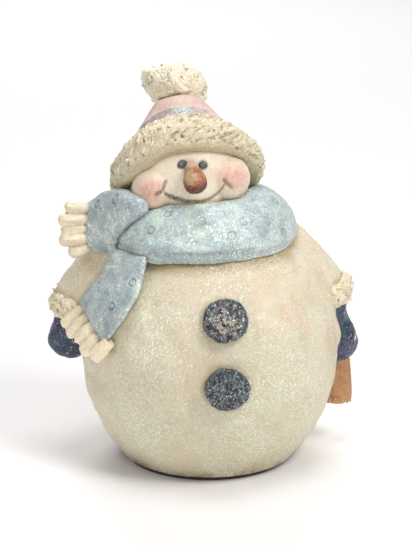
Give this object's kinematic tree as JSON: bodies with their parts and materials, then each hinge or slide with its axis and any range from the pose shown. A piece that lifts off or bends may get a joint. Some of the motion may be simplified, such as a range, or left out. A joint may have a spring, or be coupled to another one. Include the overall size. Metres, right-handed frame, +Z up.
{
  "type": "snowman figurine",
  "caption": "Chubby cast-resin snowman figurine with a bobble hat, wrapped scarf, mittens and a broom.",
  "frame": {"origin": "centre of the felt pad's underside, on the surface the figure stands on", "axes": "+Z up, the figure faces -Y, its own left hand is on +X"},
  "size_m": [0.1168, 0.0984, 0.1462],
  "materials": {
    "snow_resin": "satin",
    "face_resin": "satin",
    "nose_resin": "satin",
    "eye_resin": "satin",
    "hat_resin": "satin",
    "fur_resin": "matte",
    "scarf_resin": "satin",
    "fringe_resin": "satin",
    "mitten_resin": "satin",
    "coal_resin": "rough",
    "straw_resin": "satin",
    "handle_wood": "matte",
    "peg_wood": "matte",
    "pin_wire": "satin",
    "plug_resin": "matte",
    "felt": "matte"
  },
  "bodies": {
    "root": {"body_shell": "snow_resin", "base_plug": "plug_resin", "felt_pad": "felt", "neck_dowel": "peg_wood", "head": "face_resin", "right_eye": "eye_resin", "left_eye": "eye_resin", "nose": "nose_resin", "hat_crown": "hat_resin", "hat_brim": "fur_resin", "bobble": "fur_resin", "bobble_peg": "peg_wood", "scarf_wrap": "scarf_resin", "scarf_short_end": "scarf_resin", "short_fringe": "fringe_resin", "scarf_long_end": "scarf_resin", "long_fringe": "fringe_resin", "right_arm": "snow_resin", "left_arm": "snow_resin", "right_arm_pin": "pin_wire", "left_arm_pin": "pin_wire", "right_cuff": "fur_resin", "left_cuff": "fur_resin", "right_mitten": "mitten_resin", "left_mitten": "mitten_resin", "upper_button": "coal_resin", "lower_button": "coal_resin", "broom_handle": "handle_wood", "broom_straw": "straw_resin"}
  },
  "joints": []
}
